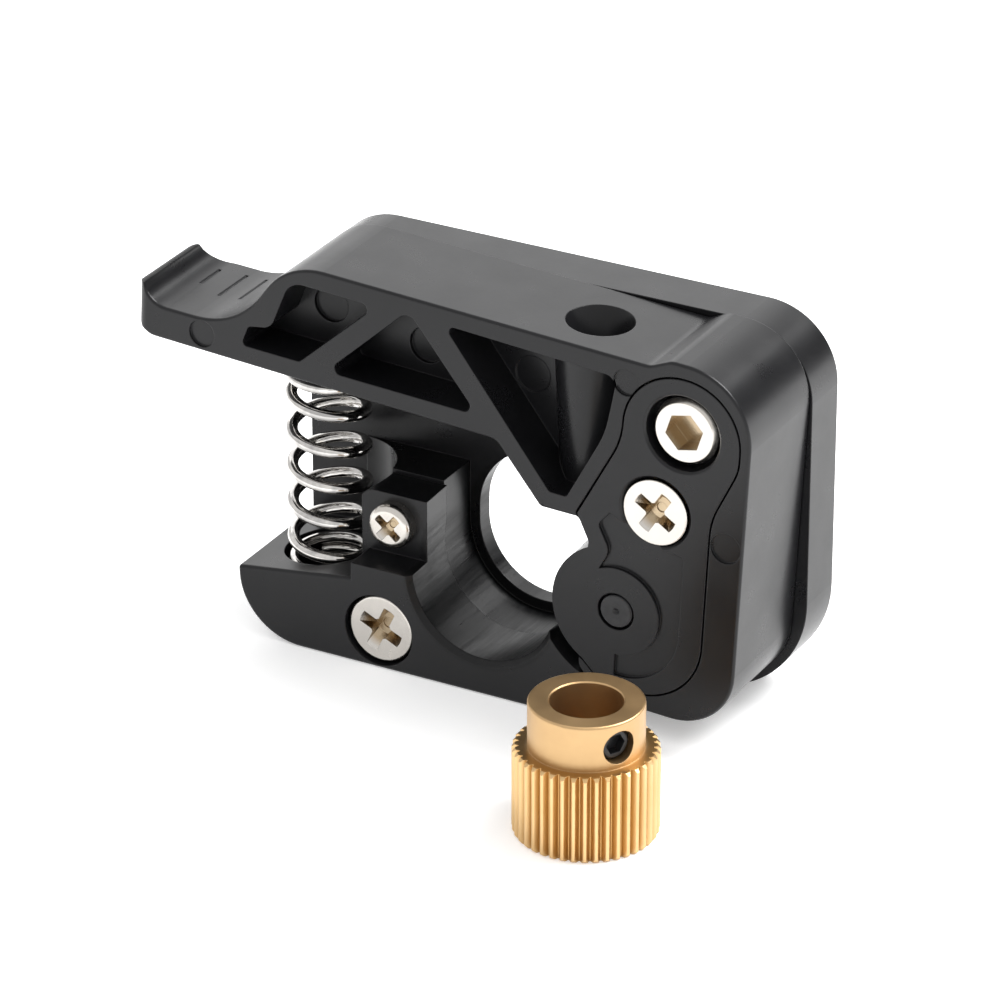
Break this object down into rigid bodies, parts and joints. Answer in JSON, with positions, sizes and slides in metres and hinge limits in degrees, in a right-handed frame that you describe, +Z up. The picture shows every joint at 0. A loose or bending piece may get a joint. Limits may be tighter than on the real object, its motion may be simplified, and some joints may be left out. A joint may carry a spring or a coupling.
{
  "type": "extruder gear assembly",
  "caption": "Filament feeder with a sprung thumb lever carrying an idler bearing, a fixed moulded block with a round gear opening, and a loose brass drive gear.",
  "frame": {"origin": "motor axis at the rear mounting face", "axes": "+Y out of the rear face towards the motor, -Y to the front, +Z up, +X to the right seen from the front"},
  "size_m": [0.0484, 0.0352, 0.0297],
  "materials": {
    "black_plastic": "satin moulded",
    "nickel_steel": "bright nickel plate",
    "plain_steel": "turned",
    "dark_pin": "black oxide",
    "spring_steel": "polished",
    "insert_brass": "knurled",
    "bearing_steel": "ground",
    "gear_brass": "satin machined",
    "black_steel": "black oxide"
  },
  "bodies": {
    "housing": {"base_plate": "black_plastic", "front_block": "black_plastic", "base_screw": "nickel_steel", "base_insert": "insert_brass", "post_screw": "nickel_steel", "motor_screw": "nickel_steel", "pivot_bush": "plain_steel", "pivot_washer": "plain_steel", "pivot_screw": "nickel_steel", "spring": "spring_steel"},
    "lever": {"lever_arm": "black_plastic", "bearing_cover": "black_plastic", "cover_screw": "nickel_steel", "cover_insert": "insert_brass", "idler_pin": "dark_pin", "shim_front": "plain_steel", "shim_rear": "plain_steel", "bearing_inner": "bearing_steel"},
    "idler": {"bearing_outer": "bearing_steel", "shield_front": "plain_steel", "shield_rear": "plain_steel"},
    "ball_set": {"bearing_cage": "plain_steel", "ball_1": "bearing_steel", "ball_2": "bearing_steel", "ball_3": "bearing_steel", "ball_4": "bearing_steel", "ball_5": "bearing_steel", "ball_6": "bearing_steel", "ball_7": "bearing_steel"},
    "gear": {"drive_gear": "gear_brass", "set_screw": "black_steel"}
  },
  "joints": [
    {"name": "lever_pivot", "type": "hinge", "parent": "housing", "child": "lever", "pos_m": [0.0155, -0.0088, 0.0155], "axis": [0, -1, 0], "range_deg": [0, 10], "stiffness_Nm_per_rad": 4.9, "springref_deg": -4.58, "deforming": ["spring"]},
    {"name": "idler_spin", "type": "hinge", "parent": "lever", "child": "idler", "pos_m": [0.01062, -0.0088, 0.00088], "axis": [0, 1, 0], "continuous": true},
    {"name": "cage_spin", "type": "hinge", "parent": "lever", "child": "ball_set", "pos_m": [0.01062, -0.0088, 0.00088], "axis": [0, 1, 0], "continuous": true},
    {"name": "gear_spin", "type": "hinge", "parent": "housing", "child": "gear", "pos_m": [0.0153, -0.0262, -0.0033], "axis": [0, 0, 1], "continuous": true}
  ],
  "couplings": [
    {"joint": "cage_spin", "follows": "idler_spin", "ratio": 0.62}
  ]
}
